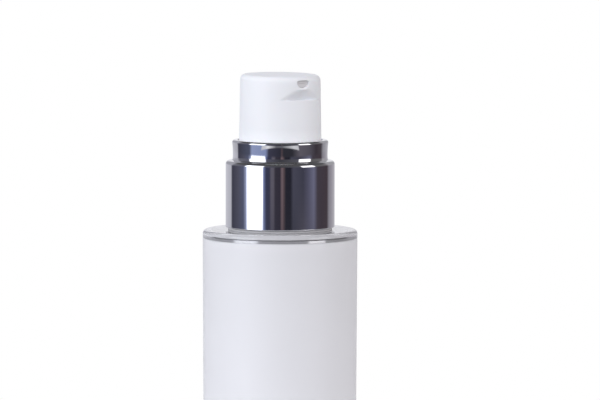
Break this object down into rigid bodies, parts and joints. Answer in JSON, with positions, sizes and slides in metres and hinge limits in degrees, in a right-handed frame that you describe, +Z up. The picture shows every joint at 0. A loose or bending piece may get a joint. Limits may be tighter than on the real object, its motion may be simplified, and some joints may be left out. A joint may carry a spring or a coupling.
{
  "type": "airless pump bottle",
  "caption": "Airless pump bottle: a white vessel in a clear outer shell, with a bright stepped collar and a white push-down head that turns on its stem.",
  "frame": {"origin": "middle of the foot, on the surface that the bottle stands on", "axes": "+Z up along the bottle's axis, -Y the way the nozzle points at rest"},
  "size_m": [0.036, 0.036, 0.1082],
  "materials": {
    "clear_acrylic": "clear, polished",
    "white_gloss": "opaque white, smooth",
    "white_satin": "white, satin",
    "natural_plastic": "milky, unpigmented",
    "seal": "pale, soft",
    "grey_plastic": "grey, satin",
    "bright_metal": "bright silver",
    "spring_steel": "drawn wire",
    "ball_glass": "polished"
  },
  "bodies": {
    "bottle": {"outer_shell": "clear_acrylic", "inner_vessel": "white_gloss", "trim_ring": "bright_metal", "base_plug": "white_gloss", "neck_gasket": "seal", "pump_housing": "natural_plastic", "ball_cage": "natural_plastic", "stem_guide": "natural_plastic", "stem_wiper": "seal", "inner_collar": "white_gloss", "collar_spacer": "grey_plastic", "collar": "bright_metal", "return_spring": "spring_steel"},
    "stem": {"stem": "natural_plastic", "stem_foot": "natural_plastic", "pump_piston": "seal"},
    "head": {"actuator_shell": "white_satin", "actuator_core": "natural_plastic", "outlet_insert": "seal"},
    "follower": {"follower_disc": "natural_plastic", "follower_seal": "seal"},
    "inlet_ball": {"inlet_ball": "ball_glass"},
    "outlet_ball": {"outlet_ball": "ball_glass"}
  },
  "joints": [
    {"name": "press", "type": "slide", "parent": "bottle", "child": "stem", "axis": [0, 0, -1], "range_m": [0, 0.005], "stiffness_N_per_m": 400, "springref_m": -0.0035, "deforming": ["return_spring"]},
    {"name": "head_turn", "type": "hinge", "parent": "stem", "child": "head", "pos_m": [0, 0, 0.098], "axis": [0, 0, 1], "continuous": true},
    {"name": "follower_rise", "type": "slide", "parent": "bottle", "child": "follower", "axis": [0, 0, 1], "range_m": [0, 0.046]},
    {"name": "inlet_lift", "type": "slide", "parent": "bottle", "child": "inlet_ball", "axis": [0, 0, 1], "range_m": [0, 0.0008]},
    {"name": "outlet_lift", "type": "slide", "parent": "stem", "child": "outlet_ball", "axis": [0, 0, 1], "range_m": [0, 0.0007]}
  ]
}
